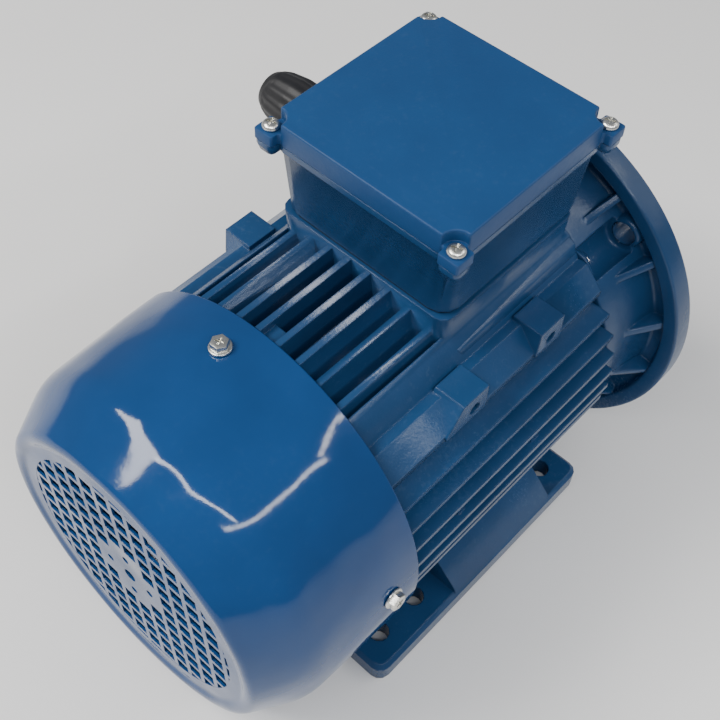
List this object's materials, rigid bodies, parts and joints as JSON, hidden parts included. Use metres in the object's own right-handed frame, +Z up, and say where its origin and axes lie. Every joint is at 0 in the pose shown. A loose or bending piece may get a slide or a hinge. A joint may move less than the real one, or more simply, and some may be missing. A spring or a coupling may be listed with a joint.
{
  "type": "electric motor",
  "caption": "Foot and flange mounted induction motor with a finned frame, square terminal box on top, fan cowl with a grille, and a keyed shaft.",
  "frame": {"origin": "middle of the bounding box's base: on the surface that the rim of the flange stands on, half way between the shaft's end and the face of the cowl", "axes": "+X along the shaft towards the drive end, +Z up through the terminal box, +Y towards the cable gland"},
  "size_m": [0.314, 0.2, 0.2367],
  "materials": {
    "blue_paint": "aluminium castings under satin machine blue paint with fine orange peel",
    "cowl_paint": "glossy deep blue paint on pressed sheet steel",
    "zinc_plate": "bright zinc plated steel",
    "bright_steel": "machined and ground steel",
    "lamination_steel": "stacked electrical steel",
    "cast_aluminium": "as cast",
    "copper_winding": "varnished copper wire, taped and laced",
    "brass": "machined brass",
    "bearing_cage": "steel balls in a ribbon cage",
    "black_plastic": "black moulded nylon",
    "black_rubber": "black rubber",
    "phenolic_board": "brown moulding compound",
    "lead_sleeve": "woven glass sleeving"
  },
  "bodies": {
    "housing": {"stator_frame": "blue_paint", "drive_end_flange": "blue_paint", "fan_end_shield": "blue_paint", "foot_left": "blue_paint", "foot_right": "blue_paint", "terminal_box": "blue_paint", "terminal_box_lid": "blue_paint", "fan_cowl": "cowl_paint", "cowl_screw_1": "zinc_plate", "link_bar_1": "brass", "cowl_screw_2": "zinc_plate", "link_bar_2": "brass", "cowl_screw_3": "zinc_plate", "link_bar_3": "brass", "tie_bolt_1": "zinc_plate", "lid_screw_1": "zinc_plate", "foot_screw_1": "zinc_plate", "tie_bolt_2": "zinc_plate", "lid_screw_2": "zinc_plate", "foot_screw_2": "zinc_plate", "tie_bolt_3": "zinc_plate", "lid_screw_3": "zinc_plate", "foot_screw_3": "zinc_plate", "tie_bolt_4": "zinc_plate", "lid_screw_4": "zinc_plate", "foot_screw_4": "zinc_plate", "board_screw_1": "zinc_plate", "box_screw_1": "zinc_plate", "board_screw_2": "zinc_plate", "box_screw_2": "zinc_plate", "terminal_stud_1": "brass", "terminal_stud_2": "brass", "terminal_stud_3": "brass", "terminal_stud_4": "brass", "terminal_stud_5": "brass", "terminal_stud_6": "brass", "earth_screw": "brass", "stator_core": "lamination_steel", "stator_winding": "copper_winding", "wave_spring": "bright_steel", "drive_end_bearing_outer_ring": "bright_steel", "fan_end_bearing_outer_ring": "bright_steel", "shaft_seal": "black_rubber", "gland_seal": "black_rubber", "box_gasket": "black_rubber", "lid_gasket": "black_rubber", "gland_body": "black_plastic", "gland_dome_nut": "black_plastic", "terminal_board": "phenolic_board", "lead_bundle": "lead_sleeve"},
    "rotor": {"rotor_shaft": "bright_steel", "shaft_key": "bright_steel", "rotor_core": "lamination_steel", "rotor_cage": "cast_aluminium", "drive_end_bearing_inner_ring": "bright_steel", "fan_end_bearing_inner_ring": "bright_steel", "cooling_fan": "black_plastic", "fan_circlip": "bright_steel"},
    "drive_end_cage": {"drive_end_bearing_ball_cage": "bearing_cage"},
    "fan_end_cage": {"fan_end_bearing_ball_cage": "bearing_cage"}
  },
  "joints": [
    {"name": "rotor_spin", "type": "hinge", "parent": "housing", "child": "rotor", "pos_m": [0, 0, 0.1], "axis": [1, 0, 0], "continuous": true},
    {"name": "drive_end_cage_spin", "type": "hinge", "parent": "housing", "child": "drive_end_cage", "pos_m": [0.0839, 0, 0.1], "axis": [1, 0, 0], "continuous": true},
    {"name": "fan_end_cage_spin", "type": "hinge", "parent": "housing", "child": "fan_end_cage", "pos_m": [-0.0865, 0, 0.1], "axis": [1, 0, 0], "continuous": true}
  ],
  "couplings": [
    {"joint": "drive_end_cage_spin", "follows": "rotor_spin", "ratio": 0.397},
    {"joint": "fan_end_cage_spin", "follows": "rotor_spin", "ratio": 0.397}
  ]
}
